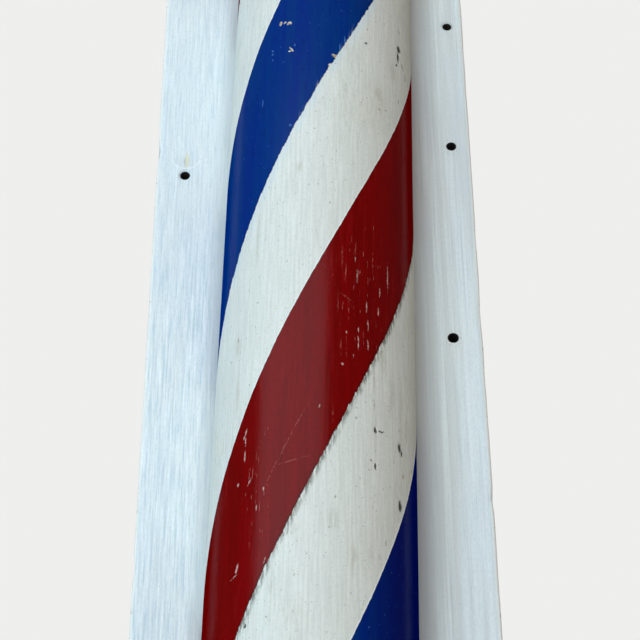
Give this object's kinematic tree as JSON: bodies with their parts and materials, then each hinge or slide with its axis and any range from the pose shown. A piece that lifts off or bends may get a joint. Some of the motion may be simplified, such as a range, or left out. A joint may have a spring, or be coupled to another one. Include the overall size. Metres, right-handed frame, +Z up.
{
  "type": "wall-mounted half-round barber pole",
  "caption": "Half-round wooden barber pole with turned collars and ball finials, striped in red, white and blue, fixed to a whitewashed backboard that screws flat to a wall.",
  "frame": {"origin": "middle of the backboard's flat back face, which lies against the wall", "axes": "+Z up along the board, +Y out of the back face into the wall, -Y towards the viewer, +X to the viewer's right"},
  "size_m": [0.1396, 0.065, 0.9144],
  "materials": {
    "whitewash": "old matt whitewash brushed along the grain of a dressed softwood board, worn thin in streaks",
    "stripe_paint": "hand-painted semi-gloss oil paint on turned wood: white ground with blue and red spiral stripes, chipped and scratched",
    "collar_paint": "semi-gloss blue oil paint with a white cove, rubbed at the beads",
    "finial_paint": "semi-gloss dark red oil paint with a white neck, rubbed at the crown",
    "screw_steel": "dull steel with brown rust in the slot",
    "dowel_wood": "bare hardwood"
  },
  "bodies": {
    "root": {"backboard": "whitewash", "pole_shaft": "stripe_paint", "lower_collar": "collar_paint", "upper_collar": "collar_paint", "lower_finial": "finial_paint", "upper_finial": "finial_paint", "shaft_screw_1": "screw_steel", "shaft_screw_2": "screw_steel", "shaft_screw_3": "screw_steel", "shaft_screw_4": "screw_steel", "lower_collar_screw": "screw_steel", "upper_collar_screw": "screw_steel", "lower_finial_screw": "screw_steel", "upper_finial_screw": "screw_steel", "lower_collar_dowel_left": "dowel_wood", "lower_collar_dowel_right": "dowel_wood", "lower_finial_dowel": "dowel_wood", "upper_collar_dowel_left": "dowel_wood", "upper_collar_dowel_right": "dowel_wood", "upper_finial_dowel": "dowel_wood"}
  },
  "joints": []
}
